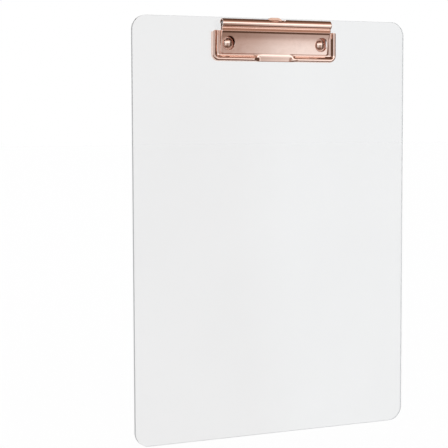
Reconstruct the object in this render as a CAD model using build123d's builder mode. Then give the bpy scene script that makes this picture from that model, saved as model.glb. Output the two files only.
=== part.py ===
"""Clear letter-size clipboard with a low-profile sprung clip and a pull-up hanging loop.

Millimetres. X runs to the right, Y to the back and Z up. The origin is the middle of the board's bottom edge,
halfway through its thickness. Places on the clip are given as "proud", the distance in front of the board's
face, and "drop", the distance below the board's top edge.
"""

import os
from math import acos, cos, degrees, radians, sin

from build123d import *

# Board
BOARD_WIDTH = 228.6
BOARD_HEIGHT = 317.5
BOARD_THICKNESS = 2.5
BOARD_CORNER_RADIUS = 11.0
BOARD_EDGE_RADIUS = 0.5

# Sheet steel of the lever, base plate and hanger
LEVER_SHEET = 0.7
BASE_SHEET = 0.6
HANGER_SHEET = 0.5

# Hinge line and rolled barrel
AXIS_PROUD = 4.4
AXIS_DROP = 4.4
BARREL_RADIUS = 3.2
BARREL_LENGTH = 91.0
ROLL_START_ANGLE = -5.0
ROLL_END_ANGLE = 240.0

# Lever sheet below the barrel: cove, stiffening bead, crease, the knee where the panel levels out, and its end
COVE_PROUD, COVE_DROP = 4.83, 7.44
BEAD_PROUD, BEAD_DROP = 6.1, 10.35
CREASE_PROUD, CREASE_DROP = 4.95, 11.5
KNEE_PROUD, KNEE_DROP = 1.75, 19.5
PANEL_END_PROUD, PANEL_END_DROP = 1.55, 27.6
COVE_RADIUS = 0.65
BEAD_RADIUS = 0.45
CREASE_RADIUS = 1.2
KNEE_RADIUS = 18.0

# Raised rim along the lever's sides and front lip
LEVER_WIDTH = 104.8
LIP_DROP = 32.6
RIM_TOP_DROP = 9.8
RIM_WIDTH = 5.0
RIM_CREST_PROUD = 3.35
RIM_CORNER_RADIUS = 5.6
RIM_LEAN = 0.6
RIM_CREST_RADIUS = 1.1
RIM_FOOT_RADIUS = 0.6
GROOVE_PROUD = 0.75
LIP_GAP = 0.12
LIP_RADIUS = 0.6
NOTCH_WIDTH = 29.4

# Web that closes each end of the thumb notch, as heights above the lip's edge
WEB_CREST_TOP = 2.2
WEB_CREST_BOTTOM = 1.2
WEB_FOOT = 1.5

# Rivets and the holes that their heads show through
RIVET_SPACING = 78.0
RIVET_DROP = 19.2
RIVET_HEAD_DIAMETER = 7.2
RIVET_HEAD_HEIGHT = 2.3
RIVET_DOME_SHARE = 0.6
RIVET_SHANK_DIAMETER = 4.0
RIVET_TAIL_DIAMETER = 6.0
RIVET_TAIL_HEIGHT = 0.8
RIVET_TAIL_CHAMFER = 0.5
SHANK_CLEARANCE = 0.1
ACCESS_HOLE_DIAMETER = 10.8

# Base plate under the lever
BASE_WIDTH = 88.4
BASE_TOP_DROP = 1.3
BASE_BOTTOM_DROP = 26.2
BASE_CORNER_RADIUS = 2.0
EAR_THICKNESS = 0.8
EAR_CENTRES = (15.1, 33.0)
EAR_RADIUS = 2.44
EAR_NECK_WIDTH = 3.0
EAR_BLANK_LENGTH = 5.8

# Windows at the barrel's back: each reaches from its lowest angle up to the same highest angle
REAR_WINDOW_TOP_ANGLE = 84.0
EAR_WINDOW_X = 15.1
EAR_WINDOW_WIDTH = 2.2
EAR_WINDOW_ANGLE = -45.0
LEG_WINDOW_X = 31.9
LEG_WINDOW_WIDTH = 4.4
LEG_WINDOW_ANGLE = -62.0

# Pin and springs
PIN_DIAMETER = 2.4
PIN_LENGTH = 90.4
PIN_CLEARANCE = 0.03
PIN_CHAMFER = 0.3
WIRE_DIAMETER = 1.0
COIL_DIAMETER = 3.6
COIL_WALL = 1.06
COIL_INNER_X = 20.5
COIL_OUTER_X = 31.0
LEG_DROP = 16.0
LEG_STRAIGHT = 1.9
LEG_REACH = 5.0
LEG_BEND_RADIUS = 1.1
TAIL_START_ANGLE = 305.0
TAIL_LENGTH = 3.3
TAIL_SLOPE = -106.7
BRIDGE_DROP = 13.7
BRIDGE_LENGTH = 1.4
BRIDGE_WIDTH = 3.4

# Hanger loop
HANGER_WIDTH = 14.5
HANGER_RISE = 0.5
HANGER_CORNER_RADIUS = 5.0
HANGER_BOTTOM_DROP = 22.0
HANGER_RING = 1.9
HANGER_SLOT_HEIGHT = 6.0
SHOULDER_WIDTH = 18.4
SHOULDER_HEIGHT = 2.0
LUG_DROP = 9.0
LUG_HEIGHT = 2.0
LUG_REACH = 1.0
SLIDING_GAP = 0.05
WINDOW_WIDTH = 17.0
WINDOW_DEPTH = 2.0

FACE_Y = -BOARD_THICKNESS / 2
HINGE = (FACE_Y - AXIS_PROUD, BOARD_HEIGHT - AXIS_DROP)


def spot(proud, drop):
    """A point of a cross-section on Plane.YZ."""
    return (FACE_Y - proud, BOARD_HEIGHT - drop)


def around_hinge(radius, angle):
    """A point of a cross-section at an angle about the hinge line: 0 is the back, 90 up, 180 the front."""
    return (HINGE[0] + radius * cos(radians(angle)), HINGE[1] + radius * sin(radians(angle)))


def front_plane(proud):
    """A plane parallel to the board's face, facing the front, with Z as the height above the bottom edge."""
    return Plane.XZ.offset(-FACE_Y + proud)


# Board: flat sheet with rounded corners, softened edges and two rivet holes
with BuildPart() as board:
    with BuildSketch(Plane.XZ.offset(FACE_Y)):
        with Locations((0, BOARD_HEIGHT / 2)):
            RectangleRounded(BOARD_WIDTH, BOARD_HEIGHT, BOARD_CORNER_RADIUS)
    extrude(amount=BOARD_THICKNESS)
    broad_faces = board.faces().filter_by(Axis.Y)
    fillet(broad_faces.edges(), radius=BOARD_EDGE_RADIUS)
    with BuildSketch(Plane.XZ.offset(FACE_Y)):
        with Locations((0, BOARD_HEIGHT - RIVET_DROP)):
            with GridLocations(RIVET_SPACING, 0, 2, 1):
                Circle(RIVET_SHANK_DIAMETER / 2 + SHANK_CLEARANCE)
    extrude(amount=BOARD_THICKNESS, mode=Mode.SUBTRACT)
board.part.label = "board"

# Base plate: flat sheet on the board's face, with ears for the pin, lugs for the hanger and two spring bridges
lug_inside = BASE_SHEET + HANGER_SHEET + 2 * SLIDING_GAP
lug_x = HANGER_WIDTH / 2 + SLIDING_GAP + BASE_SHEET / 2
wire_proud = BASE_SHEET + WIRE_DIAMETER / 2 + SLIDING_GAP
bridge_inside = wire_proud + WIRE_DIAMETER / 2 + SLIDING_GAP
wire_inset = WIRE_DIAMETER / 2 + SLIDING_GAP
leg_x = COIL_OUTER_X - wire_inset
with BuildPart() as base_plate:
    with BuildSketch(front_plane(0)):
        with Locations((0, BOARD_HEIGHT - (BASE_TOP_DROP + BASE_BOTTOM_DROP) / 2)):
            RectangleRounded(BASE_WIDTH, BASE_BOTTOM_DROP - BASE_TOP_DROP, BASE_CORNER_RADIUS)
        with Locations((0, BOARD_HEIGHT - RIVET_DROP)):
            with GridLocations(RIVET_SPACING, 0, 2, 1):
                Circle(RIVET_SHANK_DIAMETER / 2 + SHANK_CLEARANCE, mode=Mode.SUBTRACT)
        for side in (-1, 1):
            for ear_x in EAR_CENTRES:
                blank_x = side * (ear_x + (EAR_THICKNESS + EAR_BLANK_LENGTH) / 2)
                with Locations((blank_x, BOARD_HEIGHT - AXIS_DROP)):
                    Rectangle(EAR_BLANK_LENGTH, EAR_NECK_WIDTH, mode=Mode.SUBTRACT)
            with Locations((side * (lug_x + BASE_SHEET / 2 + LUG_REACH), BOARD_HEIGHT - LUG_DROP)):
                Rectangle(2 * LUG_REACH, LUG_HEIGHT, mode=Mode.SUBTRACT)
    extrude(amount=BASE_SHEET)
    for side in (-1, 1):
        for ear_x in EAR_CENTRES:
            with BuildSketch(Plane.YZ.offset(side * ear_x)):
                with Locations(HINGE):
                    Circle(EAR_RADIUS)
                with Locations(spot(AXIS_PROUD / 2, AXIS_DROP)):
                    Rectangle(AXIS_PROUD, EAR_NECK_WIDTH)
                with Locations(HINGE):
                    Circle(PIN_DIAMETER / 2 + PIN_CLEARANCE, mode=Mode.SUBTRACT)
            extrude(amount=EAR_THICKNESS / 2, both=True)
        with BuildSketch(Plane.XY.offset(BOARD_HEIGHT - LUG_DROP)):
            with Locations((side * lug_x, FACE_Y - (lug_inside + BASE_SHEET) / 2)):
                Rectangle(BASE_SHEET, lug_inside + BASE_SHEET)
            with Locations((side * (lug_x - LUG_REACH / 2), FACE_Y - lug_inside - BASE_SHEET / 2)):
                Rectangle(LUG_REACH + BASE_SHEET, BASE_SHEET)
        extrude(amount=LUG_HEIGHT / 2, both=True)
        with BuildSketch(Plane.XY.offset(BOARD_HEIGHT - BRIDGE_DROP)):
            bridge_height = bridge_inside + BASE_SHEET
            with Locations((side * leg_x, FACE_Y - bridge_height / 2)):
                Rectangle(BRIDGE_WIDTH, bridge_height)
            with Locations((side * leg_x, FACE_Y - (bridge_inside + BASE_SHEET) / 2)):
                Rectangle(BRIDGE_WIDTH - 2 * BASE_SHEET, bridge_inside - BASE_SHEET, mode=Mode.SUBTRACT)
        extrude(amount=BRIDGE_LENGTH / 2, both=True)
base_plate.part.label = "base_plate"

# Clamp lever: one sheet, rolled at the top, stiffened by a bead and pressed down to the lip
roll_radius = BARREL_RADIUS - LEVER_SHEET / 2
roll_end = around_hinge(roll_radius, ROLL_END_ANGLE)
cove = spot(COVE_PROUD, COVE_DROP)
bead = spot(BEAD_PROUD, BEAD_DROP)
crease = spot(CREASE_PROUD, CREASE_DROP)
knee = spot(KNEE_PROUD, KNEE_DROP)
panel_end = spot(PANEL_END_PROUD, PANEL_END_DROP)
half_lever = LEVER_WIDTH / 2
half_panel = BARREL_LENGTH / 2
groove_edge = half_lever - RIM_WIDTH
lip_z = BOARD_HEIGHT - LIP_DROP
rim_top_z = BOARD_HEIGHT - RIM_TOP_DROP
foot_proud = LIP_GAP + LEVER_SHEET / 2
wall_share = (cove[1] - rim_top_z) / (cove[1] - bead[1])
wall_top = (cove[0] + wall_share * (bead[0] - cove[0]), rim_top_z)
groove_back = GROOVE_PROUD - LEVER_SHEET / 2
groove_front = GROOVE_PROUD + LEVER_SHEET / 2
with BuildPart() as clamp_lever:
    # Barrel, bead and panel
    with BuildSketch(Plane.YZ):
        with BuildLine():
            CenterArc(HINGE, roll_radius, ROLL_START_ANGLE, ROLL_END_ANGLE - ROLL_START_ANGLE)
            FilletPolyline(
                roll_end,
                cove,
                bead,
                crease,
                knee,
                panel_end,
                radius=[COVE_RADIUS, BEAD_RADIUS, CREASE_RADIUS, KNEE_RADIUS],
            )
            offset(amount=LEVER_SHEET / 2)
        make_face()
    extrude(amount=half_panel, both=True)
    # Walls that drop from the panel's sides to the groove, and the groove's floor
    for side in (-1, 1):
        with BuildSketch(Plane.YZ.offset(side * (half_panel - LEVER_SHEET / 2))):
            with BuildLine():
                Polyline(
                    wall_top,
                    bead,
                    crease,
                    knee,
                    panel_end,
                    spot(groove_back, PANEL_END_DROP),
                    spot(groove_back, RIM_TOP_DROP),
                    close=True,
                )
            make_face()
        extrude(amount=LEVER_SHEET / 2, both=True)
        with BuildSketch(front_plane(groove_back)):
            floor_width = groove_edge - half_panel + 2 * LEVER_SHEET
            floor_height = PANEL_END_DROP - RIM_TOP_DROP + LEVER_SHEET / 2
            floor_x = side * (half_panel + groove_edge) / 2
            with Locations((floor_x, rim_top_z - floor_height / 2)):
                Rectangle(floor_width, floor_height)
        extrude(amount=LEVER_SHEET)
    with BuildSketch(Plane.YZ):
        with Locations(spot((groove_back + PANEL_END_PROUD) / 2, PANEL_END_DROP)):
            Rectangle(PANEL_END_PROUD - groove_back, LEVER_SHEET)
    extrude(amount=half_panel, both=True)
    # Rim: an arched bead round the sides and front
    with BuildLine(Plane.XZ.offset(-FACE_Y)) as rim_path:
        FilletPolyline(
            (-half_lever, rim_top_z),
            (-half_lever, lip_z),
            (half_lever, lip_z),
            (half_lever, rim_top_z),
            radius=RIM_CORNER_RADIUS,
        )
    rim_start = Plane(origin=(-half_lever, FACE_Y, rim_top_z), x_dir=(1, 0, 0), z_dir=(0, 0, -1))
    with BuildSketch(rim_start):
        with BuildLine():
            FilletPolyline(
                (LEVER_SHEET / 2, foot_proud),
                (LEVER_SHEET / 2 + RIM_LEAN, RIM_CREST_PROUD),
                (RIM_WIDTH - RIM_LEAN, GROOVE_PROUD),
                (RIM_WIDTH, GROOVE_PROUD),
                radius=[RIM_CREST_RADIUS, RIM_FOOT_RADIUS],
            )
            offset(amount=LEVER_SHEET / 2)
        make_face()
    sweep(path=rim_path.line)
    # Thumb notch: the bead gives way to a plain rounded lip in the middle of the front edge
    with BuildSketch(front_plane(0)):
        notch_height = LIP_DROP - PANEL_END_DROP - LEVER_SHEET / 2
        with Locations((0, lip_z + notch_height / 2)):
            Rectangle(NOTCH_WIDTH, notch_height)
    extrude(amount=RIM_CREST_PROUD, mode=Mode.SUBTRACT)
    with BuildSketch(Plane.YZ):
        with BuildLine():
            FilletPolyline(
                panel_end,
                spot(PANEL_END_PROUD, LIP_DROP - LEVER_SHEET),
                spot(foot_proud, LIP_DROP - LEVER_SHEET / 2),
                radius=LIP_RADIUS,
            )
            offset(amount=LEVER_SHEET / 2)
        make_face()
    extrude(amount=NOTCH_WIDTH / 2, both=True)
    for side in (-1, 1):
        with BuildSketch(Plane.YZ.offset(side * NOTCH_WIDTH / 2)):
            with BuildLine():
                Polyline(
                    spot(groove_front, PANEL_END_DROP + LEVER_SHEET),
                    spot(RIM_CREST_PROUD - LEVER_SHEET, LIP_DROP - WEB_CREST_TOP),
                    spot(RIM_CREST_PROUD - LEVER_SHEET, LIP_DROP - WEB_CREST_BOTTOM),
                    spot(foot_proud, LIP_DROP - LEVER_SHEET),
                    spot(PANEL_END_PROUD - LEVER_SHEET, LIP_DROP - WEB_FOOT),
                    close=True,
                )
            make_face()
        extrude(amount=LEVER_SHEET / 2, both=True)
    # Holes over the rivet heads
    with BuildSketch(front_plane(0)):
        with Locations((0, BOARD_HEIGHT - RIVET_DROP)):
            with GridLocations(RIVET_SPACING, 0, 2, 1):
                Circle(ACCESS_HOLE_DIAMETER / 2)
    extrude(amount=BARREL_RADIUS + AXIS_PROUD, mode=Mode.SUBTRACT)
    # Windows at the barrel's back for the base plate's ears and the spring legs
    for side in (-1, 1):
        for centre, width, lowest in (
            (EAR_WINDOW_X, EAR_WINDOW_WIDTH, EAR_WINDOW_ANGLE),
            (LEG_WINDOW_X, LEG_WINDOW_WIDTH, LEG_WINDOW_ANGLE),
        ):
            with BuildSketch(Plane.YZ.offset(side * centre)):
                with BuildLine():
                    Line(HINGE, around_hinge(AXIS_PROUD, lowest))
                    CenterArc(HINGE, AXIS_PROUD, lowest, REAR_WINDOW_TOP_ANGLE - lowest)
                    Line(around_hinge(AXIS_PROUD, REAR_WINDOW_TOP_ANGLE), HINGE)
                make_face()
            extrude(amount=width / 2, both=True, mode=Mode.SUBTRACT)
    # Curved window in the barrel's top that leaves the hanger in reach
    window_radius = (WINDOW_WIDTH**2 / 4 + WINDOW_DEPTH**2) / (2 * WINDOW_DEPTH)
    barrel_top_z = HINGE[1] + BARREL_RADIUS
    with BuildSketch(front_plane(0)):
        with Locations((0, barrel_top_z - WINDOW_DEPTH + window_radius)):
            Circle(window_radius)
    extrude(amount=AXIS_PROUD + BARREL_RADIUS, mode=Mode.SUBTRACT)
clamp_lever.part.label = "clamp_lever"

# Hinge pin: plain wire with softened ends
with BuildPart() as hinge_pin:
    with BuildSketch(Plane.YZ):
        with Locations(HINGE):
            Circle(PIN_DIAMETER / 2)
    extrude(amount=PIN_LENGTH / 2, both=True)
    chamfer(hinge_pin.faces().filter_by(Axis.X).edges(), length=PIN_CHAMFER)
hinge_pin.part.label = "hinge_pin"

# Torsion springs: close-wound coil as a sleeve, a tail behind the lever's bead and a leg under the bridge
coil_radius = COIL_DIAMETER / 2
coil_back = AXIS_PROUD - coil_radius
springs = {}
for name, side in (("torsion_spring_left", -1), ("torsion_spring_right", 1)):
    tail_x = side * (COIL_INNER_X + wire_inset)
    tail_start = around_hinge(coil_radius, TAIL_START_ANGLE)
    tail_end = (
        tail_start[0] + TAIL_LENGTH * cos(radians(TAIL_SLOPE)),
        tail_start[1] + TAIL_LENGTH * sin(radians(TAIL_SLOPE)),
    )
    with BuildPart() as spring:
        with BuildSketch(Plane.YZ.offset(side * (COIL_INNER_X + COIL_OUTER_X) / 2)):
            with Locations(HINGE):
                Circle((COIL_DIAMETER + COIL_WALL) / 2)
        extrude(amount=(COIL_OUTER_X - COIL_INNER_X) / 2, both=True)
        with BuildLine(Plane.YZ.offset(side * leg_x)) as leg_path:
            FilletPolyline(
                spot(coil_back, AXIS_DROP),
                spot(coil_back, AXIS_DROP + LEG_STRAIGHT),
                spot(wire_proud, AXIS_DROP + LEG_REACH),
                spot(wire_proud, LEG_DROP),
                radius=LEG_BEND_RADIUS,
            )
        with BuildSketch(Plane.XY.offset(HINGE[1])):
            with Locations((side * leg_x, FACE_Y - coil_back)):
                Circle(WIRE_DIAMETER / 2)
        sweep(path=leg_path.line)
        with BuildLine(Plane.YZ.offset(tail_x)) as tail_path:
            Line(tail_start, tail_end)
        with BuildSketch(tail_path.line ^ 0):
            Circle(WIRE_DIAMETER / 2)
        sweep(path=tail_path.line)
        with BuildSketch(Plane.YZ):
            with Locations(HINGE):
                Circle((COIL_DIAMETER - COIL_WALL) / 2)
        extrude(amount=BARREL_LENGTH / 2, both=True, mode=Mode.SUBTRACT)
    spring.part.label = name
    springs[name] = spring

# Rivets: domed head on the base plate, shank through the board and a formed tail behind it
rivets = {}
head_radius = RIVET_HEAD_DIAMETER / 2
dome_height = RIVET_HEAD_HEIGHT * RIVET_DOME_SHARE
dome_radius = (head_radius**2 + dome_height**2) / (2 * dome_height)
for name, side in (("rivet_left", -1), ("rivet_right", 1)):
    rivet_x = side * RIVET_SPACING / 2
    rivet_z = BOARD_HEIGHT - RIVET_DROP
    with BuildPart() as rivet:
        with BuildSketch(Plane.YZ.offset(rivet_x)):
            with BuildLine():
                head_back = FACE_Y - BASE_SHEET
                rim_y = head_back - (RIVET_HEAD_HEIGHT - dome_height)
                tail_front = -FACE_Y
                tail_back = tail_front + RIVET_TAIL_HEIGHT
                tail_radius = RIVET_TAIL_DIAMETER / 2
                shank_radius = RIVET_SHANK_DIAMETER / 2
                top_y = rim_y - dome_height
                half_angle = degrees(acos((dome_radius - dome_height) / dome_radius)) / 2
                shoulder = (
                    top_y + dome_radius * (1 - cos(radians(half_angle))),
                    rivet_z + dome_radius * sin(radians(half_angle)),
                )
                ThreePointArc((top_y, rivet_z), shoulder, (rim_y, rivet_z + head_radius))
                Polyline(
                    (rim_y, rivet_z + head_radius),
                    (head_back, rivet_z + head_radius),
                    (head_back, rivet_z + shank_radius),
                    (tail_front, rivet_z + shank_radius),
                    (tail_front, rivet_z + tail_radius),
                    (tail_back, rivet_z + tail_radius - RIVET_TAIL_CHAMFER),
                    (tail_back, rivet_z),
                    (top_y, rivet_z),
                )
            make_face()
        revolve(axis=Axis((rivet_x, 0, rivet_z), (0, 1, 0)))
    rivet.part.label = name
    rivets[name] = rivet

# Hanger loop: flat tab with a wide slot, which slides up between the barrel and the base plate
hanger_top_z = BOARD_HEIGHT + HANGER_RISE
hanger_bottom_z = BOARD_HEIGHT - HANGER_BOTTOM_DROP
slot_centre_z = hanger_top_z - HANGER_RING - HANGER_SLOT_HEIGHT / 2
with BuildPart() as hanger_loop:
    with BuildSketch(front_plane(BASE_SHEET + SLIDING_GAP)) as hanger_outline:
        with Locations((0, (hanger_top_z + hanger_bottom_z) / 2)):
            Rectangle(HANGER_WIDTH, hanger_top_z - hanger_bottom_z)
        fillet(hanger_outline.vertices().group_by(Axis.Y)[-1], radius=HANGER_CORNER_RADIUS)
        with Locations((0, hanger_bottom_z + SHOULDER_HEIGHT / 2)):
            Rectangle(SHOULDER_WIDTH, SHOULDER_HEIGHT)
        with Locations((0, slot_centre_z)):
            SlotOverall(HANGER_WIDTH - 2 * HANGER_RING, HANGER_SLOT_HEIGHT, mode=Mode.SUBTRACT)
    extrude(amount=HANGER_SHEET)
hanger_loop.part.label = "hanger_loop"

os.makedirs("parts", exist_ok=True)
export_step(board.part, "parts/board.step")
export_step(base_plate.part, "parts/base_plate.step")
export_step(clamp_lever.part, "parts/clamp_lever.step")
export_step(hinge_pin.part, "parts/hinge_pin.step")
export_step(hanger_loop.part, "parts/hanger_loop.step")
for name, spring in springs.items():
    export_step(spring.part, f"parts/{name}.step")
for name, rivet in rivets.items():
    export_step(rivet.part, f"parts/{name}.step")
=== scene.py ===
"""Looks for the clear clipboard with the rose-gold clip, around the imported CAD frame.

Lengths are millimetres until place() or MM turns them into metres; the floor and the camera are set in metres.
Places on the clip are given as in the CAD: "proud" is the distance in front of the board's face and "drop" the
distance below the board's top edge. Angles about the hinge are 0 at the back, 90 on top and 180 in front.
"""

import math

import bmesh
import bpy
import numpy as np
from mathutils import Matrix, Vector


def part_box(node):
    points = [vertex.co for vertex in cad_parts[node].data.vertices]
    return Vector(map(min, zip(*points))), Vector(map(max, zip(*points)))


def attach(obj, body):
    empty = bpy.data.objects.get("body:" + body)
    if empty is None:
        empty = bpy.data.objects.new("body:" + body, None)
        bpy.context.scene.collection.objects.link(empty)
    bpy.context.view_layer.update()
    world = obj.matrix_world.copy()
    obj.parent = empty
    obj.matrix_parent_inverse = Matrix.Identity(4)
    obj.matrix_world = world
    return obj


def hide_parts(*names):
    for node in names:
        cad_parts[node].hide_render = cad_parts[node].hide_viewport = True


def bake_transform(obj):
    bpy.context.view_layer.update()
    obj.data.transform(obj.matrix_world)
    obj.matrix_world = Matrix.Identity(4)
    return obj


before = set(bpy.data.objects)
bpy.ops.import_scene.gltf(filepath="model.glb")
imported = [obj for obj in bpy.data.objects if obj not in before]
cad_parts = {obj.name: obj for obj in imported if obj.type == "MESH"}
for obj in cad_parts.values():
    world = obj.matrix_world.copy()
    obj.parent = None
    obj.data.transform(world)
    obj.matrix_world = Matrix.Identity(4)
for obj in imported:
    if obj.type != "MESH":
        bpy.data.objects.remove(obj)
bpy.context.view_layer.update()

MM = 0.001

# Places read from the frame
board_low, board_high = (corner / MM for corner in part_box("board"))
lever_low, lever_high = (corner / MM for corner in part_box("clamp_lever"))
pin_low, pin_high = (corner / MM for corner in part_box("hinge_pin"))
spring_low, spring_high = (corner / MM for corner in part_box("torsion_spring_right"))
rivet_low, rivet_high = (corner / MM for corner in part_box("rivet_right"))
hanger_low, hanger_high = (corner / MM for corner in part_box("hanger_loop"))
_, base_high = (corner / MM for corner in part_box("base_plate"))

FACE_Y = board_low.y
TOP_Z = board_high.z
AXIS_PROUD = FACE_Y - (pin_low.y + pin_high.y) / 2
AXIS_DROP = TOP_Z - (pin_low.z + pin_high.z) / 2

# Lever sheet: corners of its section and other sizes that it shares with the CAD
SHEET = 0.7
BARREL_RADIUS = FACE_Y - AXIS_PROUD - lever_low.y
ROLL_RADIUS = BARREL_RADIUS - SHEET / 2
ROLL_START_ANGLE = -5.0
ROLL_END_ANGLE = 240.0
HALF_BARREL = 45.5
COVE = (4.83, 7.44)
BEAD = (6.1, 10.35)
CREASE = (4.95, 11.5)
KNEE = (1.75, 19.5)
PANEL_END = (1.55, 27.6)
COVE_RADIUS = 0.65
CREASE_RADIUS = 1.2
HALF_LEVER = lever_high.x
LIP_DROP = TOP_Z - lever_low.z
RIM_TOP_DROP = 9.8
GROOVE_PROUD = 0.75
NOTCH_HALF_WIDTH = 14.7
RIVET_X = (rivet_low.x + rivet_high.x) / 2
RIVET_DROP = TOP_Z - (rivet_low.z + rivet_high.z) / 2
ACCESS_RADIUS = 5.4
TOP_WINDOW_HALF = 8.5
TOP_WINDOW_DEPTH = 2.0
# Windows at the barrel's back as (nearest X, farthest X, lowest angle), all up to the same angle
REAR_WINDOWS = ((13.9, 16.3, -45), (29.6, 34.0, -62))
REAR_WINDOW_TOP_ANGLE = 84

# Lever sheet where it departs from the CAD to follow the photograph
BELLY_SAG = 0.5
KNEE_RADIUS = 32.0
RIM_CORNER_RADIUS = 5.4
PANEL_FOOT = 26.4
BEND_RADIUS = 0.5
# The roll's inside keeps this far from the hinge, clear of the base plate's ears
ROLL_INSIDE = 2.48

# Hairline between the board and the steel that lies on it, so that both faces are seen through the plastic
SEAM = 0.04
# Points of a mesh that are nearer than this, in metres, are one point
SAME_POINT = 1e-7


# ---------------------------------------------------------------- mesh helpers


def place(x, proud, drop):
    """A point on the clip, in metres."""
    return Vector((x, FACE_Y - proud, TOP_Z - drop)) * MM


def mesh_piece(name, points, faces, material, body, replaces=()):
    """A mesh object from points in metres, riding on a body and standing for CAD nodes."""
    mesh = bpy.data.meshes.new(name)
    mesh.from_pydata([tuple(p) for p in points], [], faces)
    mesh.update()
    return adopt(name, mesh, material, body, replaces)


def adopt(name, mesh, material, body, replaces=()):
    piece = bpy.data.objects.new(name, mesh)
    bpy.context.scene.collection.objects.link(piece)
    mesh.materials.clear()
    mesh.materials.append(material)
    if body:
        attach(piece, body)
    if replaces:
        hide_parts(*replaces)
    return piece


def weld(piece, dissolve=False):
    """Joins double points, and turns all faces outward."""
    mesh = bmesh.new()
    mesh.from_mesh(piece.data)
    bmesh.ops.remove_doubles(mesh, verts=mesh.verts, dist=SAME_POINT)
    if dissolve:
        bmesh.ops.dissolve_degenerate(mesh, edges=mesh.edges, dist=SAME_POINT / 10)
    bmesh.ops.recalc_face_normals(mesh, faces=mesh.faces)
    mesh.to_mesh(piece.data)
    mesh.free()


def apply_modifiers(piece):
    """Gives the piece the mesh that its modifiers make of it."""
    graph = bpy.context.evaluated_depsgraph_get()
    mesh = bpy.data.meshes.new_from_object(piece.evaluated_get(graph))
    piece.modifiers.clear()
    piece.data = mesh


def smooth(piece, angle):
    """Smooth shading, kept sharp where faces meet at more than angle."""
    piece.data.shade_smooth()
    piece.data.set_sharp_from_angle(angle=math.radians(angle))


def flat_normals(piece):
    """Broad faces shade as flat, and only the narrow faces beside them take up the turn."""
    modifier = piece.modifiers.new("normals", "WEIGHTED_NORMAL")
    modifier.keep_sharp = True
    modifier.weight = 100
    apply_modifiers(piece)


def bevel(piece, width, segments, angle):
    """Rounds the edges where faces meet at more than angle."""
    modifier = piece.modifiers.new("edges", "BEVEL")
    modifier.width = width * MM
    modifier.segments = segments
    modifier.limit_method = "ANGLE"
    modifier.angle_limit = math.radians(angle)
    modifier.use_clamp_overlap = True
    modifier.harden_normals = False
    apply_modifiers(piece)


def arc_between(start, corner, end, radius, steps):
    """Points of the arc that rounds a corner, from its first tangent point to its last."""
    start, corner, end = (np.array(p, float) for p in (start, corner, end))
    to_start = (start - corner) / np.linalg.norm(start - corner)
    to_end = (end - corner) / np.linalg.norm(end - corner)
    half = math.acos(np.clip(to_start @ to_end, -1, 1)) / 2
    centre = corner + (to_start + to_end) / np.linalg.norm(to_start + to_end) * radius / math.sin(half)
    first = corner + to_start * radius / math.tan(half) - centre
    last = corner + to_end * radius / math.tan(half) - centre
    turn = math.pi - 2 * half
    return [
        centre + (first * math.sin((1 - share) * turn) + last * math.sin(share * turn)) / math.sin(turn)
        for share in np.linspace(0, 1, steps + 1)
    ]


def run(start, end, steps):
    """Evenly spaced points from start to end, without the last."""
    start, end = np.array(start, float), np.array(end, float)
    return [start + (end - start) * i / steps for i in range(steps)]


def smoothstep(value, low, high):
    """0 up to low, 1 from high on, and an S-shaped ease between them."""
    t = min(max((value - low) / (high - low), 0.0), 1.0)
    return t * t * (3 - 2 * t)


def curve_through(points, samples):
    """Catmull-Rom curve through given points, sampled evenly in each span."""
    points = [np.array(p, float) for p in points]
    ends = [2 * points[0] - points[1], *points, 2 * points[-1] - points[-2]]
    out = []
    for i in range(1, len(ends) - 2):
        a, b, c, d = ends[i - 1 : i + 3]
        for k in range(samples):
            t = k / samples
            square, cube = 2 * a - 5 * b + 4 * c - d, 3 * b - a - 3 * c + d
            out.append(0.5 * (2 * b + (c - a) * t + square * t**2 + cube * t**3))
    out.append(points[-1])
    return out


# ---------------------------------------------------------------- materials

ACRYLIC_IOR = 1.49
# Depths of the surface detail, in metres
SCRATCH_DEPTH = 0.00002
WAVE_DEPTH = 0.0002


class Nodes:
    """A short way to write a node tree."""

    def __init__(self, name):
        self.material = bpy.data.materials.new(name)
        self.material.use_nodes = True
        self.tree = self.material.node_tree
        self.shader = self.tree.nodes["Principled BSDF"]

    def add(self, kind, inputs=None, **settings):
        node = self.tree.nodes.new(kind)
        for key, value in settings.items():
            setattr(node, key, value)
        for key, value in (inputs or {}).items():
            if isinstance(value, bpy.types.NodeSocket):
                self.tree.links.new(value, node.inputs[key])
            else:
                node.inputs[key].default_value = value
        return node

    def noise(self, scale, detail, rough=0.5, stretch=(1, 1, 1)):
        where = self.add("ShaderNodeTexCoord").outputs["Object"]
        scaled = self.add("ShaderNodeMapping", {"Vector": where, "Scale": stretch}).outputs["Vector"]
        noise = self.add(
            "ShaderNodeTexNoise",
            {"Vector": scaled, "Scale": scale, "Detail": detail, "Roughness": rough},
        )
        return noise.outputs["Fac"]

    def ranged(self, value, low, high, new_low, new_high):
        node = self.add(
            "ShaderNodeMapRange",
            {"Value": value, "From Min": low, "From Max": high, "To Min": new_low, "To Max": new_high},
        )
        return node.outputs["Result"]

    def mixed(self, factor, first, second):
        node = self.add("ShaderNodeMix", data_type="RGBA")
        self.tree.links.new(factor, node.inputs["Factor"])
        for socket, colour in ((node.inputs["A"], first), (node.inputs["B"], second)):
            if isinstance(colour, bpy.types.NodeSocket):
                self.tree.links.new(colour, socket)
            else:
                socket.default_value = (*colour, 1)
        return node.outputs["Result"]

    def bump(self, strength, distance, height, **more):
        inputs = {"Strength": strength, "Distance": distance, "Height": height, **more}
        return self.add("ShaderNodeBump", inputs).outputs["Normal"]

    def feed(self, socket, value):
        if isinstance(value, bpy.types.NodeSocket):
            self.tree.links.new(value, self.shader.inputs[socket])
        else:
            self.shader.inputs[socket].default_value = value


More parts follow.
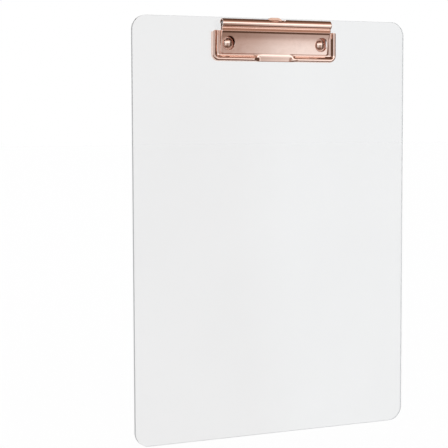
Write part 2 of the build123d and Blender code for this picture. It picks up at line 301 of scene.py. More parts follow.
def plated_metal(name, bright, dull, smoothest, roughest, scratches):
    """Plated steel: cloudy tint, uneven polish, fine scratches and wear where edges are rubbed."""
    n = Nodes(name)
    cloud = n.ranged(n.noise(70, 3), 0.35, 0.65, 0, 1)
    tint = n.mixed(cloud, bright, dull)
    rubbed = n.add("ShaderNodeNewGeometry").outputs["Pointiness"]
    worn = n.ranged(rubbed, 0.53, 0.6, 0, 0.35)
    pale = tuple(0.5 + 0.5 * c for c in bright)
    n.feed("Base Color", n.mixed(worn, tint, pale))
    n.feed("Metallic", 1.0)
    polish = n.noise(260, 4, 0.6)
    n.feed("Roughness", n.ranged(polish, 0.3, 0.7, smoothest, roughest))
    fine = n.noise(1500, 3, 0.7, (0.12, 1, 1))
    wavy = n.noise(45, 1)
    scratched = n.bump(scratches, SCRATCH_DEPTH, fine)
    n.feed("Normal", n.bump(0.08, WAVE_DEPTH, wavy, Normal=scratched))
    return n.material


def clear_plastic(name, clearness):
    """Cast clear sheet: faint cool tint and hairline rub marks."""
    n = Nodes(name)
    hairs = n.noise(900, 2, 0.6, (1, 1, 0.05))
    haze = n.noise(9, 3)
    pale = (clearness, clearness + 0.004, clearness + 0.008)
    greyer = tuple(0.985 * c for c in pale)
    n.feed("Base Color", n.mixed(n.ranged(haze, 0.35, 0.65, 0, 1), pale, greyer))
    n.feed("Transmission Weight", 1.0)
    n.feed("IOR", ACRYLIC_IOR)
    n.feed("Roughness", n.ranged(hairs, 0.45, 0.75, 0.0, 0.02))
    return n.material


def cut_edge(name):
    """The sheet's trimmed edge: half frosted, with fine saw lines along it, and a grey colour that is painted
    shade for the dark line along the clear edge.
    """
    n = Nodes(name)
    lines = n.noise(600, 2, 0.6, (0.05, 1, 0.05))
    # Painted shade: these greys darken the edge into the line that a clear sheet's edge shows.
    pale, grey = (0.60, 0.61, 0.62), (0.52, 0.53, 0.54)
    n.feed("Base Color", n.mixed(n.ranged(lines, 0.35, 0.65, 0, 1), pale, grey))
    n.feed("Transmission Weight", 0.3)
    n.feed("IOR", ACRYLIC_IOR)
    n.feed("Roughness", n.ranged(lines, 0.35, 0.65, 0.3, 0.5))
    return n.material


def bare_steel(name, colour, roughness):
    """Drawn wire: streaks along X and an oily sheen that varies."""
    n = Nodes(name)
    streaks = n.noise(700, 3, 0.6, (0.1, 1, 1))
    n.feed("Base Color", n.mixed(streaks, tuple(0.75 * c for c in colour), colour))
    n.feed("Metallic", 1.0)
    n.feed("Roughness", n.ranged(streaks, 0.3, 0.7, roughness * 0.7, roughness * 1.3))
    n.feed("Normal", n.bump(0.2, SCRATCH_DEPTH, streaks))
    return n.material


rose_gold = plated_metal("rose_gold", (0.93, 0.71, 0.625), (0.92, 0.69, 0.60), 0.05, 0.11, 0.12)
plated_steel = plated_metal("plated_steel", (0.86, 0.56, 0.44), (0.80, 0.50, 0.38), 0.12, 0.22, 0.3)
# The base plate's steel is a darker copy of the plated steel. Its dark colour is painted shade, for the plate
# that is seen only in the shade inside the rivet holes.
shaded_base_steel = plated_metal("plated_steel_base_painted_shade", (0.60, 0.32, 0.23), (0.52, 0.26, 0.18), 0.14, 0.26, 0.3)
rivet_steel = plated_metal("rivet_steel", (0.93, 0.74, 0.66), (0.9, 0.69, 0.6), 0.16, 0.26, 0.2)
plain_steel = bare_steel("plain_steel", (0.55, 0.54, 0.52), 0.3)
spring_steel = bare_steel("spring_steel", (0.42, 0.41, 0.40), 0.25)
clear = clear_plastic("clear_plastic", 0.87)
clear_edge = cut_edge("clear_plastic_edge")


# ---------------------------------------------------------------- clamp lever

# Panel grid: the two square blocks round the rivet holes, and the stretch between them
BLOCK_HALF = 5.65
BLOCK_CELLS = 20
MIDDLE_CELLS = 112
PANEL_HALF = RIVET_X + BLOCK_HALF
PANEL_CORNER = PANEL_FOOT - RIVET_DROP - BLOCK_HALF
# Steps of the mesh round the roll's back and front, and round the panel's corners
BACK_STEPS = 24
FRONT_STEPS = 28
CORNER_STEPS = 8
# About half a step of the roll's back, in degrees, and slack for comparing places
HALF_BACK_STEP = 2
SLACK = 1e-6


def roll_point(angle):
    """(proud, drop) on the roll's middle surface, which hangs a little fuller in front than a circle."""
    a = math.radians(angle)
    sag = BELLY_SAG * math.cos(a) ** 2 if angle > 90 else 0.0
    return (AXIS_PROUD - ROLL_RADIUS * math.cos(a), AXIS_DROP - ROLL_RADIUS * math.sin(a) + sag)


def front_line():
    """The sheet's middle surface from the barrel down to the panel's end, as dense (proud, drop) points."""
    cove = arc_between(roll_point(ROLL_END_ANGLE), COVE, BEAD, COVE_RADIUS, 10)
    crease = arc_between(BEAD, CREASE, KNEE, CREASE_RADIUS, 6)
    knee = arc_between(CREASE, KNEE, PANEL_END, KNEE_RADIUS, 24)
    to_cove, to_bead = run(roll_point(ROLL_END_ANGLE), cove[0], 4)[1:], run(cove[-1], BEAD, 6)[1:]
    upper = [*to_cove, *cove, *to_bead, np.array(BEAD)]
    return upper, run(BEAD, crease[0], 4)[1:] + crease, [crease[-1], *knee, np.array(PANEL_END)]


UPPER_LINE, CREASE_LINE, PANEL_LINE = front_line()


def panel_proud(drop):
    """How far the panel's middle surface stands off the board at a drop."""
    line = np.array(PANEL_LINE)
    return float(np.interp(drop, line[:, 1], line[:, 0]))


def lever_rows():
    """Rows down the sheet as (kind, proud, drop, angle), from the roll's end to the panel's foot."""
    rows = []
    for i in range(BACK_STEPS + 1):
        angle = ROLL_START_ANGLE + (90 - ROLL_START_ANGLE) * i / BACK_STEPS
        rows.append(("back", *roll_point(angle), angle))
    for i in range(1, FRONT_STEPS + 1):
        angle = 90 + (ROLL_END_ANGLE - 90) * i / FRONT_STEPS
        rows.append(("front", *roll_point(angle), angle))
    for proud, drop in UPPER_LINE + CREASE_LINE:
        rows.append(("neck" if drop < RIM_TOP_DROP else "side", proud, drop, None))
    # A row exactly where the rim begins: a new one, or the neck's last one moved there if that is near
    first_side = next(k for k, row in enumerate(rows) if row[0] == "side")
    above, below = rows[first_side - 1], rows[first_side]
    share = (RIM_TOP_DROP - above[2]) / (below[2] - above[2])
    level = above[1] + (below[1] - above[1]) * share
    if share > 0.3:
        rows.insert(first_side, ("side", level, RIM_TOP_DROP, None))
    else:
        rows[first_side - 1] = ("side", level, RIM_TOP_DROP, None)
    block_top = RIVET_DROP - BLOCK_HALF
    for drop in np.linspace(CREASE_LINE[-1][1], block_top, 4)[1:-1]:
        rows.append(("side", panel_proud(drop), drop, None))
    for drop in np.linspace(block_top, block_top + 2 * BLOCK_HALF, BLOCK_CELLS + 1):
        rows.append(("side", panel_proud(drop), drop, None))
    corner_top = PANEL_FOOT - PANEL_CORNER
    for i in range(1, CORNER_STEPS + 1):
        angle = 90 * i / CORNER_STEPS
        drop = corner_top + PANEL_CORNER * math.sin(math.radians(angle))
        rows.append(("corner", panel_proud(drop), drop, angle))
    return rows


def lever_columns():
    """Columns across the sheet, from left to right."""
    block = list(np.linspace(RIVET_X - BLOCK_HALF, PANEL_HALF, BLOCK_CELLS + 1))
    middle = list(np.linspace(-block[0], block[0], MIDDLE_CELLS + 1))
    inner = [-x for x in reversed(block)] + middle[1:-1] + block
    return [-HALF_BARREL, *inner, HALF_BARREL]


def window_height(x):
    """How high over the axis the barrel's top window cuts, or None beside it."""
    half, depth = TOP_WINDOW_HALF, TOP_WINDOW_DEPTH
    radius = (half**2 + depth**2) / (2 * depth)
    height = BARREL_RADIUS - depth + radius - math.sqrt(radius**2 - min(abs(x), half) ** 2)
    return height if abs(x) < half and height < ROLL_RADIUS - 1e-3 else None


def in_rear_window(x, angle):
    return any(
        near < abs(x) < far and lowest < angle < REAR_WINDOW_TOP_ANGLE for near, far, lowest in REAR_WINDOWS
    )


# Sections of the rim and of the thumb notch as (inset from the lever's outline, proud), from groove to lip
RIM_SECTION = [
    (4.75, 0.75),
    (4.35, 0.9),
    (3.6, 1.5),
    (2.75, 2.3),
    (1.95, 2.72),
    (1.2, 2.6),
    (0.7, 2.05),
    (0.42, 1.2),
    (0.35, 0.47),
]
NOTCH_SECTION = [
    (4.75, 1.34),
    (4.35, 1.44),
    (3.9, 1.42),
    (3.3, 1.2),
    (2.6, 0.97),
    (1.8, 0.8),
    (1.1, 0.68),
    (0.6, 0.58),
    (0.35, 0.47),
]
# Heights of the panel's bend and of the groove's foot where the notch flattens them
NOTCH_BEND_PROUD = 1.42
NOTCH_FOOT_PROUD = 1.3
# How far the notch's ends reach inward and outward from its half width
NOTCH_EASE_IN = 3.2
NOTCH_EASE_OUT = 2.2
# Rounding where the bend meets the groove
FOOT_RADIUS = 0.35
# The rim's rounded top end: how far it falls, between two insets
RIM_END_FALL = 1.3
RIM_END_INSETS = (0.35, 2.4)


def rim_loops():
    """Loops outward from the panel's edge as (kind, first, second).

    A bend or foot loop holds its shares of the rounding outward and downward. A rim loop holds a point of each
    section.
    """
    loops = []
    for degrees in (30, 60, 90):
        a = math.radians(degrees)
        loops.append(("bend", math.sin(a), 1 - math.cos(a)))
    for degrees in (0, 45, 90):
        a = math.radians(degrees)
        loops.append(("foot", 1 - math.cos(a), math.sin(a)))
    rim = curve_through(RIM_SECTION, 3)
    notch = curve_through(NOTCH_SECTION, 3)
    for r, n in zip(rim, notch):
        loops.append(("rim", r, n))
    return loops


def loop_points(loop, edge):
    """One loop's points, matched one to one with the panel's edge points."""
    kind, first, second = loop
    points = []
    for where, along, proud in edge:
        notch = 0.0
        if where == "front":
            inside, outside = NOTCH_HALF_WIDTH - NOTCH_EASE_IN, NOTCH_HALF_WIDTH + NOTCH_EASE_OUT
            notch = 1 - smoothstep(abs(along), inside, outside)
        step = min(BEND_RADIUS, (proud - GROOVE_PROUD) / 2)
        top = RIM_TOP_DROP
        if kind == "rim":
            inset, height = first
            flat = second[1]
            half, foot, radius = HALF_LEVER - inset, LIP_DROP - inset, RIM_CORNER_RADIUS - inset
            top += RIM_END_FALL * (1 - smoothstep(inset, *RIM_END_INSETS)) ** 2
        else:
            if kind == "bend":
                out, height, flat = BEND_RADIUS * first, proud - step * second, NOTCH_BEND_PROUD
            else:
                out = BEND_RADIUS + FOOT_RADIUS * first
                height, flat = GROOVE_PROUD + step * (1 - second), NOTCH_FOOT_PROUD
            half, foot, radius = PANEL_HALF + out, PANEL_FOOT + out, PANEL_CORNER + out
        height = height + (flat - height) * notch
        if where == "front":
            x = along / (PANEL_HALF - PANEL_CORNER) * (half - radius)
            points.append((x, height, foot))
        elif where[0] == "c":
            side = 1 if where == "c+" else -1
            a = math.radians(along)
            x, drop = half - radius + radius * math.cos(a), foot - radius + radius * math.sin(a)
            points.append((side * x, height, drop))
        else:
            side = 1 if where == "s+" else -1
            share = (along - RIM_TOP_DROP) / (PANEL_FOOT - PANEL_CORNER - RIM_TOP_DROP)
            points.append((side * half, height, top + share * (foot - radius - top)))
    return points


def build_lever():
    """The sheet's middle surface as a grid with rings and loops, made thick and rounded at its edges."""
    rows, columns = lever_rows(), lever_columns()
    points, faces, table = [], [], {}

    def vertex(x, proud, drop):
        points.append(place(x, proud, drop))
        return len(points) - 1

    last = len(columns) - 1
    corner_start = PANEL_HALF - PANEL_CORNER
    for r, (kind, proud, drop, angle) in enumerate(rows):
        for c, x in enumerate(columns):
            if kind in ("side", "corner") and c in (0, last):
                continue
            if kind == "corner":
                edge = corner_start + PANEL_CORNER * math.cos(math.radians(angle))
                inner = RIVET_X - BLOCK_HALF
                if abs(x) > inner:
                    x = math.copysign(inner + (abs(x) - inner) * (edge - inner) / (PANEL_HALF - inner), x)
            cut = window_height(x) if kind in ("front", "back") else None
            if cut is None:
                table[r, c] = vertex(x, proud, drop)
                continue
            limit = math.degrees(math.asin(cut / ROLL_RADIUS))
            if kind == "front":
                moved = 180 - limit + (ROLL_END_ANGLE - 180 + limit) * (angle - 90) / (ROLL_END_ANGLE - 90)
            else:
                moved = limit + (ROLL_START_ANGLE - limit) * (90 - angle) / (90 - ROLL_START_ANGLE)
            table[r, c] = vertex(x, *roll_point(moved))
            if kind == "back" and abs(angle - 90) < SLACK:
                table[r, c, "front"] = vertex(x, *roll_point(180 - limit))
    # Quads of the grid, without the windows and the blocks round the rivet holes
    side_rows = [r for r, row in enumerate(rows) if row[0] == "side"]
    block_rows = [r for r in side_rows if abs(rows[r][2] - RIVET_DROP) < BLOCK_HALF + SLACK]
    first_block, last_block = block_rows[0], block_rows[-1]
    block_columns = [c for c in range(1, last) if abs(columns[c]) >= RIVET_X - BLOCK_HALF - SLACK]
    for r in range(len(rows) - 1):
        for c in range(last):
            keys = ((r, c), (r + 1, c), (r + 1, c + 1), (r, c + 1))
            if any(k not in table for k in keys):
                continue
            middle_x = (columns[c] + columns[c + 1]) / 2
            if first_block <= r < last_block and abs(middle_x) > RIVET_X - BLOCK_HALF:
                continue
            if rows[r][0] == "back" and in_rear_window(middle_x, rows[r][3] + HALF_BACK_STEP):
                continue
            corners = []
            for k in keys:
                split = (*k, "front")
                ahead = split in table and rows[r + 1][0] == "front"
                corners.append(table[split] if ahead else table[k])
            faces.append(corners)
    # Rings round the rivet holes as (share of the way in, outset, sink): two on the panel, three down the lip
    rings = [(0.5, 0.12, 0.0), (1.0, 0.12, 0.0), (1.0, 0.06, 0.0), (1.0, 0.03, 0.03), (1.0, 0.0, 0.1)]
    for side in (-1, 1):
        ring = []
        near = [c for c in block_columns if columns[c] * side > 0]
        low_c, high_c = near[0], near[-1]
        ring += [(first_block, c) for c in range(low_c, high_c)]
        ring += [(r, high_c) for r in range(first_block, last_block)]
        ring += [(last_block, c) for c in range(high_c, low_c, -1)]
        ring += [(r, low_c) for r in range(last_block, first_block, -1)]
        outer = [table[k] for k in ring]
        spokes = [(columns[c] - side * RIVET_X, rows[r][2] - RIVET_DROP) for r, c in ring]
        for share, out, sink in rings:
            inner = []
            for dx, dd in spokes:
                reach = math.hypot(dx, dd)
                scale = 1 + share * ((ACCESS_RADIUS + out) / reach - 1)
                drop = RIVET_DROP + dd * scale
                inner.append(vertex(side * RIVET_X + dx * scale, panel_proud(drop) - sink, drop))
            for k in range(len(outer)):
                j = (k + 1) % len(outer)
                faces.append((outer[k], inner[k], inner[j], outer[j]))
            outer = inner
    # Bends, groove and rim round the panel's sides and foot
    edge, edge_points = [], []
    corner_rows = [r for r, row in enumerate(rows) if row[0] == "corner"]
    for r in side_rows:
        edge.append(("s-", rows[r][2], rows[r][1]))
        edge_points.append(table[r, 1])
    for r in corner_rows[:-1]:
        edge.append(("c-", rows[r][3], rows[r][1]))
        edge_points.append(table[r, 1])
    foot = corner_rows[-1]
    for c in range(1, last):
        x = float(points[table[foot, c]].x / MM)
        edge.append(("front", x, rows[foot][1]))
        edge_points.append(table[foot, c])
    for r in reversed(corner_rows[:-1]):
        edge.append(("c+", rows[r][3], rows[r][1]))
        edge_points.append(table[r, last - 1])
    for r in reversed(side_rows):
        edge.append(("s+", rows[r][2], rows[r][1]))
        edge_points.append(table[r, last - 1])
    previous = edge_points
    for loop in rim_loops():
        current = [vertex(*p) for p in loop_points(loop, edge)]
        for k in range(len(edge) - 1):
            faces.append((previous[k], current[k], current[k + 1], previous[k + 1]))
        previous = current
    piece = mesh_piece("lever_sheet", points, faces, rose_gold, "lever", ["clamp_lever"])
    weld(piece, dissolve=True)
    thick = piece.modifiers.new("sheet", "SOLIDIFY")
    thick.thickness = SHEET * MM
    thick.offset = 0
    thick.use_even_offset = True
    thick.thickness_clamp = 0.0
    apply_modifiers(piece)
    clear_ears(piece.data.vertices)
    bevel(piece, 0.12, 2, 60)
    smooth(piece, 40)


def clear_ears(vertices):
    """Pushes the roll's inside out to ROLL_INSIDE from the hinge, where the sagging front comes too near."""
    _, axis_y, axis_z = place(0.0, AXIS_PROUD, AXIS_DROP)
    for point in vertices:
        y, z = point.co.y - axis_y, point.co.z - axis_z
        away = math.hypot(y, z) / MM
        if away < ROLL_INSIDE:
            point.co.y = axis_y + y * ROLL_INSIDE / away
            point.co.z = axis_z + z * ROLL_INSIDE / away


build_lever()


# ---------------------------------------------------------------- small parts


def lathe(name, outline, centre, material, body, replaces, steps=96):
    """A piece turned about an axis along Y: outline holds (radius, y) in mm, from axis to axis."""
    points, faces = [], []
    for radius, y in outline:
        for k in range(steps):
            a = 2 * math.pi * k / steps
            x, z = centre[0] + radius * math.cos(a), centre[1] + radius * math.sin(a)
            points.append(Vector((x, y, z)) * MM)
    for i in range(len(outline) - 1):
        for k in range(steps):
            j = (k + 1) % steps
            faces.append((i * steps + k, i * steps + j, (i + 1) * steps + j, (i + 1) * steps + k))
    piece = mesh_piece(name, points, faces, material, body, replaces)
    weld(piece)
    smooth(piece, 35)


BASE_SHEET = 0.6
RIVET_DOME_HEIGHT = 1.38
RIVET_SHANK_RADIUS = 2.0
# The rivet's tail as (radius, distance behind the board), then its hollow end as (radius, depth below the end)
RIVET_TAIL = ((2.7, 0), (2.95, 0.12), (2.95, 0.35))
RIVET_TAIL_END = ((2.6, 0.12), (2.0, 0), (1.1, 0), (0.9, 0.3), (0, 0.35))


def build_rivet(name, side):
    """Domed head on the base plate, plain shank, and a tail spread behind the board."""
    head = (rivet_high.x - rivet_low.x) / 2
    top, seat, back = rivet_low.y, base_high.y - BASE_SHEET, rivet_high.y
    rim_y = top + RIVET_DOME_HEIGHT
    dome = (head**2 + (rim_y - top) ** 2) / (2 * (rim_y - top))
    outline = []
    for i in range(25):
        radius = head * 0.985 * i / 24
        outline.append((radius, top + dome - math.sqrt(dome**2 - radius**2)))
    outline += [(head * 0.997, rim_y + 0.04), (head, rim_y + 0.14), (head, seat - 0.1), (head - 0.1, seat)]
    outline += [(RIVET_SHANK_RADIUS, seat), (RIVET_SHANK_RADIUS, board_high.y)]
    outline += [(radius, board_high.y + behind) for radius, behind in RIVET_TAIL]
    outline += [(radius, back - depth) for radius, depth in RIVET_TAIL_END]
    centre = (side * RIVET_X, TOP_Z - RIVET_DROP)
    lathe(name, outline, centre, rivet_steel, "root", [name.replace("turned_", "")])


build_rivet("turned_rivet_left", -1)
build_rivet("turned_rivet_right", 1)


CUTTER_REACH = 5


def arc(x, z, radius, start, sweep, steps):
    """Points on a circle round (x, z), from the start angle over a sweep in degrees."""
    angles = [math.radians(start + sweep * k / steps) for k in range(steps + 1)]
    return [(x + radius * math.cos(a), z + radius * math.sin(a)) for a in angles]


def rounded_outline(half_width, half_height, radius, steps):
    """Corner arcs of a rounded rectangle, counterclockwise, as (x, z)."""
    out = []
    for quarter, (sx, sz) in enumerate(((1, 1), (-1, 1), (-1, -1), (1, -1))):
        x, z = sx * (half_width - radius), sz * (half_height - radius)
        out += arc(x, z, radius, 90 * quarter, 90, steps)
    return out


def slab(name, outline, front, back, holes, edge, segments, material, body, replaces):
    """A flat sheet between two Y planes with an (x, z) outline, holes cut through, and rounded edges."""

    def prism(points, y0, y1):
        mesh = bmesh.new()
        lower = [mesh.verts.new(Vector((x, y0, z)) * MM) for x, z in points]
        upper = [mesh.verts.new(Vector((x, y1, z)) * MM) for x, z in points]
        mesh.faces.new(lower)
        mesh.faces.new(list(reversed(upper)))
        for k in range(len(points)):
            j = (k + 1) % len(points)
            mesh.faces.new((lower[j], lower[k], upper[k], upper[j]))
        bmesh.ops.recalc_face_normals(mesh, faces=mesh.faces)
        made = bpy.data.meshes.new(name)
        mesh.to_mesh(made)
        mesh.free()
        return made

    piece = adopt(name, prism(outline, front, back), material, body, replaces)
    for k, hole in enumerate(holes):
        through = prism(hole, front - CUTTER_REACH, back + CUTTER_REACH)
        cutter = bpy.data.objects.new(f"{name}_cutter_{k}", through)
        bpy.context.scene.collection.objects.link(cutter)
        cut = piece.modifiers.new("hole", "BOOLEAN")
        cut.object = cutter
        cut.operation = "DIFFERENCE"
        cut.solver = "EXACT"
        bpy.context.view_layer.update()
        apply_modifiers(piece)
        bpy.data.objects.remove(cutter)
    bevel(piece, edge, segments, 50)
    smooth(piece, 40)
    flat_normals(piece)
    return piece


BOARD_CORNER = 11.0
BOARD_HOLE_RADIUS = 2.1
# The cut edge is made of faces that lean and are near the outline. The rivet holes' faces aren't part of it.
FACE_LEAN = 0.95
EDGE_BAND = 2.6
HOLE_BAND = 4


def build_board():
    """The clear sheet. It casts no shadow and diffuse rays pass it by, so that it doesn't grey the floor."""
    half = board_high.x
    middle = TOP_Z / 2
    outline = [(x, z + middle) for x, z in rounded_outline(half, middle, BOARD_CORNER, 24)]
    holes = [arc(side * RIVET_X, TOP_Z - RIVET_DROP, BOARD_HOLE_RADIUS, 0, 360, 64)[:-1] for side in (-1, 1)]
    front, back = board_low.y + SEAM, board_high.y - SEAM
    piece = slab(
        "clear_board", outline, front, back, holes, 0.45, 4, clear, "root", ["board"]
    )
    piece.data.materials.append(clear_edge)
    piece.visible_shadow = False
    piece.visible_diffuse = False
    for face in piece.data.polygons:
        x, _, z = face.center / MM
        near_outline = min(half - abs(x), z, TOP_Z - z) < EDGE_BAND
        past_holes = TOP_Z - z > RIVET_DROP - HOLE_BAND and abs(x) > RIVET_X + HOLE_BAND
        leans = abs(face.normal.y) < FACE_LEAN
        face.material_index = 1 if leans and (near_outline or past_holes) else 0


build_board()


HANGER_HALF = 7.25
HANGER_CORNER = 5
HANGER_RING = 1.9
HANGER_SLOT_RADIUS = 3
SHOULDER_HEIGHT = 2


def build_hanger():
    """Flat tab with a rounded top, a wide slot and square shoulders at its foot."""
    half, shoulder, corner = HANGER_HALF, hanger_high.x, HANGER_CORNER
    top, bottom = hanger_high.z, hanger_low.z
    ledge = bottom + SHOULDER_HEIGHT
    outline = arc(half - corner, top - corner, corner, 0, 90, 16)
    outline += arc(corner - half, top - corner, corner, 90, 90, 16)
    outline += [(-half, ledge), (-shoulder, ledge), (-shoulder, bottom), (shoulder, bottom)]
    outline += [(shoulder, ledge), (half, ledge)]
    x, z = half - HANGER_RING - HANGER_SLOT_RADIUS, top - HANGER_RING - HANGER_SLOT_RADIUS
    slot = arc(x, z, HANGER_SLOT_RADIUS, -90, 180, 24) + arc(-x, z, HANGER_SLOT_RADIUS, 90, 180, 24)
    front, back = hanger_low.y, hanger_high.y
    slab(
        "hanger_tab", outline, front, back, [slot], 0.12, 2, plated_steel, "hanger",
        ["hanger_loop"],
    )


build_hanger()


WIRE_RADIUS = 0.5
COIL_RADIUS = 1.8
COIL_STEPS = 36 * 9
COIL_TURNS = 8
# Where the wire leaves the coil for the tail, the tail's bend and end, and the leg's, as (Y, Z) from the hinge
TAIL_ANGLE = 230.0
TAIL_BEND = (0.72, -2.95)
TAIL_END = (0.12, -4.6)
TAIL_RADIUS = 0.75
LEG = [(COIL_RADIUS, 0), (COIL_RADIUS, -1.9), (3.25, -5.0), (3.25, -11.6)]
LEG_RADIUS = 1.1


def build_spring(name, side):
    """Close-wound torsion spring in its rest shape, on no body: the real tail turns with the lever, and the
    leg stays under its bridge.
    """
    inner, outer = spring_low.x + WIRE_RADIUS + 0.05, spring_high.x - WIRE_RADIUS - 0.05
    turned = COIL_TURNS * 360 + TAIL_ANGLE
    leaves = math.radians(TAIL_ANGLE)
    tail_start = (COIL_RADIUS * math.cos(leaves), COIL_RADIUS * math.sin(leaves))
    tail = [TAIL_END, *arc_between(TAIL_END, TAIL_BEND, tail_start, TAIL_RADIUS, 8)]
    path = [(inner, y, z) for y, z in tail]
    for k in range(COIL_STEPS + 1):
        a = math.radians(TAIL_ANGLE - turned * k / COIL_STEPS)
        x = inner + (outer - inner) * k / COIL_STEPS
        path.append((x, COIL_RADIUS * math.cos(a), COIL_RADIUS * math.sin(a)))
    leg = [*arc_between(*LEG[:3], LEG_RADIUS, 6), *arc_between(*LEG[1:], LEG_RADIUS, 6), LEG[-1]]
    path += [(outer, y, z) for y, z in leg]
    curve = bpy.data.curves.new(name, "CURVE")
    curve.dimensions = "3D"
    curve.bevel_depth = WIRE_RADIUS * MM
    curve.bevel_resolution = 3
    curve.use_fill_caps = True
    spline = curve.splines.new("POLY")
    spline.points.add(len(path) - 1)
    for point, (x, y, z) in zip(spline.points, path):
        spot = Vector((side * x, FACE_Y - AXIS_PROUD + y, TOP_Z - AXIS_DROP + z)) * MM
        point.co = (*spot, 1)
    holder = bpy.data.objects.new(name + "_wire", curve)
    bpy.context.scene.collection.objects.link(holder)
    bpy.context.view_layer.update()
    graph = bpy.context.evaluated_depsgraph_get()
    mesh = bpy.data.meshes.new_from_object(holder.evaluated_get(graph))
    bpy.data.objects.remove(holder)
    piece = adopt("wound_" + name, mesh, spring_steel, None, [name])
    smooth(piece, 60)
    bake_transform(piece)


build_spring("torsion_spring_left", -1)
build_spring("torsion_spring_right", 1)

# The base plate takes the darker steel, whose colour is painted shade.
for node, material in (("base_plate", shaded_base_steel), ("hinge_pin", plain_steel)):
    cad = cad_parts[node]
    cad.data.materials.clear()
    cad.data.materials.append(material)


# ---------------------------------------------------------------- floor, light and camera


FLOOR_REACH = 12.0


def build_floor():
    """Plain pale paper, which polished metal doesn't mirror."""
    mesh = bpy.data.meshes.new("floor")
    corners = [(x * FLOOR_REACH, y * FLOOR_REACH, 0) for x, y in ((-1, -1), (1, -1), (1, 1), (-1, 1))]
    mesh.from_pydata(corners, [], [(0, 1, 2, 3)])
    floor = bpy.data.objects.new("floor", mesh)
    bpy.context.scene.collection.objects.link(floor)
    n = Nodes("floor_paper")
    n.feed("Base Color", (0.9, 0.9, 0.9, 1))
    n.feed("Roughness", 0.9)
    n.feed("Specular IOR Level", 0.0)
    mesh.materials.append(n.material)
    floor.visible_glossy = False


build_floor()


def by_sine(degrees):
    """Place on the height ramp of a direction so many degrees above the horizon."""
    return (math.sin(math.radians(degrees)) + 1) / 2


# Colours of the walls by height, and which wall stands where from left to right. Only mirror rays see them.
# They are set so that the metal shows the photograph's bands from the photograph's side.
CEILING = [
    (by_sine(9), (1.7, 1.7, 1.7)),
    (by_sine(19), (1.7, 1.7, 1.7)),
    (by_sine(28), (0.95, 0.89, 0.86)),
    (by_sine(37), (0.60, 0.39, 0.31)),
    (by_sine(46), (0.37, 0.24, 0.18)),
    (by_sine(56), (0.19, 0.12, 0.085)),
    (by_sine(64), (0.11, 0.065, 0.045)),
    (1.0, (0.09, 0.055, 0.04)),
]
DIM_WALL = [
    (0.0, (0.08, 0.045, 0.03)),
    (by_sine(-64), (0.10, 0.06, 0.04)),
    (by_sine(-50), (0.17, 0.115, 0.09)),
    (by_sine(-38), (0.28, 0.205, 0.17)),
    (by_sine(-26), (0.43, 0.335, 0.295)),
    (by_sine(5), (0.51, 0.425, 0.395)),
    *CEILING,
]
BRIGHT_WALL = [
    (0.0, (0.08, 0.045, 0.03)),
    (by_sine(-64), (0.10, 0.06, 0.04)),
    (by_sine(-50), (0.20, 0.14, 0.115)),
    (by_sine(-38), (0.44, 0.37, 0.345)),
    (by_sine(-26), (0.86, 0.85, 0.85)),
    (by_sine(-12), (1.0, 1.05, 1.07)),
    (by_sine(5), (1.02, 1.08, 1.11)),
    *CEILING,
]
# The dark wall behind the board, and the dark ends to the left and right of the studio
REAR_WALL = (0.12, 0.08, 0.06)
REAR_BY_DEPTH = [(0.62, (0, 0, 0)), (0.75, (1, 1, 1))]
GREY = {"dim": (0, 0, 0), "half": (0.5, 0.5, 0.5), "bright": (1, 1, 1)}
REAR_BY_SIDE = [
    (0.18, GREY["dim"]),
    (0.28, GREY["bright"]),
    (0.86, GREY["bright"]),
    (0.92, GREY["dim"]),
]
END_WALLS = [
    (0.025, GREY["dim"]),
    (0.06, GREY["bright"]),
    (0.15, GREY["bright"]),
    (0.18, GREY["dim"]),
    (0.80, GREY["dim"]),
    (0.88, GREY["bright"]),
    (1.0, GREY["bright"]),
]
WALL_ORDER = [
    (0.0, GREY["bright"]),
    (0.12, GREY["dim"]),
    (0.24, GREY["bright"]),
    (0.40, GREY["half"]),
    (0.5, GREY["dim"]),
    (0.711, GREY["dim"]),
    (0.7285, GREY["bright"]),
    (0.775, GREY["bright"]),
    (0.81, GREY["dim"]),
    (1.0, GREY["dim"]),
]


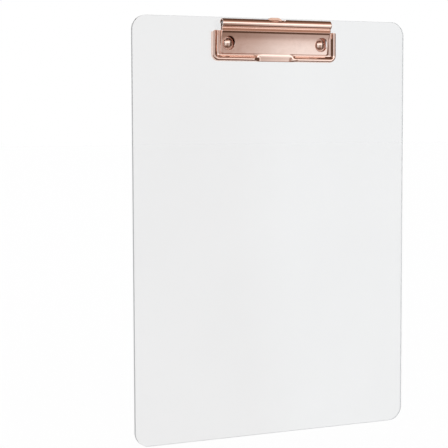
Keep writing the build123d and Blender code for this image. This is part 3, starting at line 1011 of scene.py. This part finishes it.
def build_world():
    """White all round for the eye and for soft light, and pale and dark studio walls for polished metal."""
    world = bpy.data.worlds.new("studio")
    bpy.context.scene.world = world
    world.use_nodes = True
    tree = world.node_tree
    tree.nodes.clear()
    new, link = tree.nodes.new, tree.links.new

    def ramp(value, stops):
        node = new("ShaderNodeValToRGB")
        link(value, node.inputs["Fac"])
        bands = node.color_ramp
        while len(bands.elements) < len(stops):
            bands.elements.new(0.5)
        for element, (position, colour) in zip(bands.elements, stops):
            element.position = position
            element.color = (*colour, 1)
        return node.outputs["Color"]

    def across(value, stops):
        """A ramp over one coordinate of the ray's direction."""
        node = new("ShaderNodeMapRange")
        link(value, node.inputs["Value"])
        for key, number in (("From Min", -1), ("From Max", 1), ("To Min", 0), ("To Max", 1)):
            node.inputs[key].default_value = number
        return ramp(node.outputs["Result"], stops)

    def mixed(factor, first, second):
        node = new("ShaderNodeMix")
        node.data_type = "RGBA"
        link(factor, node.inputs["Factor"])
        link(first, node.inputs["A"])
        if isinstance(second, bpy.types.NodeSocket):
            link(second, node.inputs["B"])
        else:
            node.inputs["B"].default_value = (*second, 1)
        return node.outputs["Result"]

    def combined(operation, first, second):
        node = new("ShaderNodeMath")
        node.operation = operation
        node.use_clamp = True
        link(first, node.inputs[0])
        link(second, node.inputs[1])
        return node.outputs["Value"]

    where = new("ShaderNodeTexCoord")
    split = new("ShaderNodeSeparateXYZ")
    link(where.outputs["Generated"], split.inputs["Vector"])
    x, y, z = (split.outputs[axis] for axis in "XYZ")
    walls = mixed(across(x, WALL_ORDER), across(z, DIM_WALL), across(z, BRIGHT_WALL))
    rear = combined("MULTIPLY", across(y, REAR_BY_DEPTH), across(x, REAR_BY_SIDE))
    dark = combined("MAXIMUM", rear, across(x, END_WALLS))
    shown = new("ShaderNodeBackground")
    shown.inputs["Color"].default_value = (1, 1, 1, 1)
    mirrored = new("ShaderNodeBackground")
    link(mixed(dark, walls, REAR_WALL), mirrored.inputs["Color"])
    rays = new("ShaderNodeLightPath")
    metal = combined("SUBTRACT", rays.outputs["Is Glossy Ray"], rays.outputs["Is Transmission Ray"])
    mix = new("ShaderNodeMixShader")
    link(metal, mix.inputs["Fac"])
    link(shown.outputs["Background"], mix.inputs[1])
    link(mirrored.outputs["Background"], mix.inputs[2])
    out = new("ShaderNodeOutputWorld")
    link(mix.outputs["Shader"], out.inputs["Surface"])


build_world()


LAMP_ENERGY = 0.36
LAMP_SPREAD = 100
LAMP_TILT = (18, -14, 0)


def build_lamp():
    """Broad soft light from overhead, which polished metal doesn't mirror."""
    data = bpy.data.lights.new("overhead", "SUN")
    data.energy = LAMP_ENERGY
    data.angle = math.radians(LAMP_SPREAD)
    lamp = bpy.data.objects.new("overhead", data)
    bpy.context.scene.collection.objects.link(lamp)
    lamp.rotation_euler = [math.radians(tilt) for tilt in LAMP_TILT]
    lamp.visible_glossy = False
    lamp.visible_camera = False


build_lamp()

CAMERA_AZIMUTH, CAMERA_ELEVATION, CAMERA_ROLL = -24.42, 4.38, 0.2
CAMERA_TARGET = Vector((-0.04215, board_low.y * MM, 0.16341))
CAMERA_DISTANCE = 1.0101
CAMERA_LENS = 108.1


def build_camera():
    """The photograph's viewing angle: from the left, a little above the board's middle."""
    data = bpy.data.cameras.new("camera")
    camera = bpy.data.objects.new("camera", data)
    bpy.context.scene.collection.objects.link(camera)
    a, e = math.radians(CAMERA_AZIMUTH), math.radians(CAMERA_ELEVATION)
    back = Vector((math.sin(a) * math.cos(e), -math.cos(a) * math.cos(e), math.sin(e)))
    camera.location = CAMERA_TARGET + back * CAMERA_DISTANCE
    turn = (-back).to_track_quat("-Z", "Y").to_matrix().to_4x4()
    roll = Matrix.Rotation(math.radians(-CAMERA_ROLL), 4, "Z")
    camera.rotation_euler = (turn @ roll).to_euler()
    data.sensor_width = 36.0
    data.lens = CAMERA_LENS
    data.clip_start, data.clip_end = 0.05, 60
    bpy.context.scene.camera = camera


build_camera()
bpy.context.scene.view_settings.view_transform = "Standard"
bpy.context.scene.view_settings.look = "None"
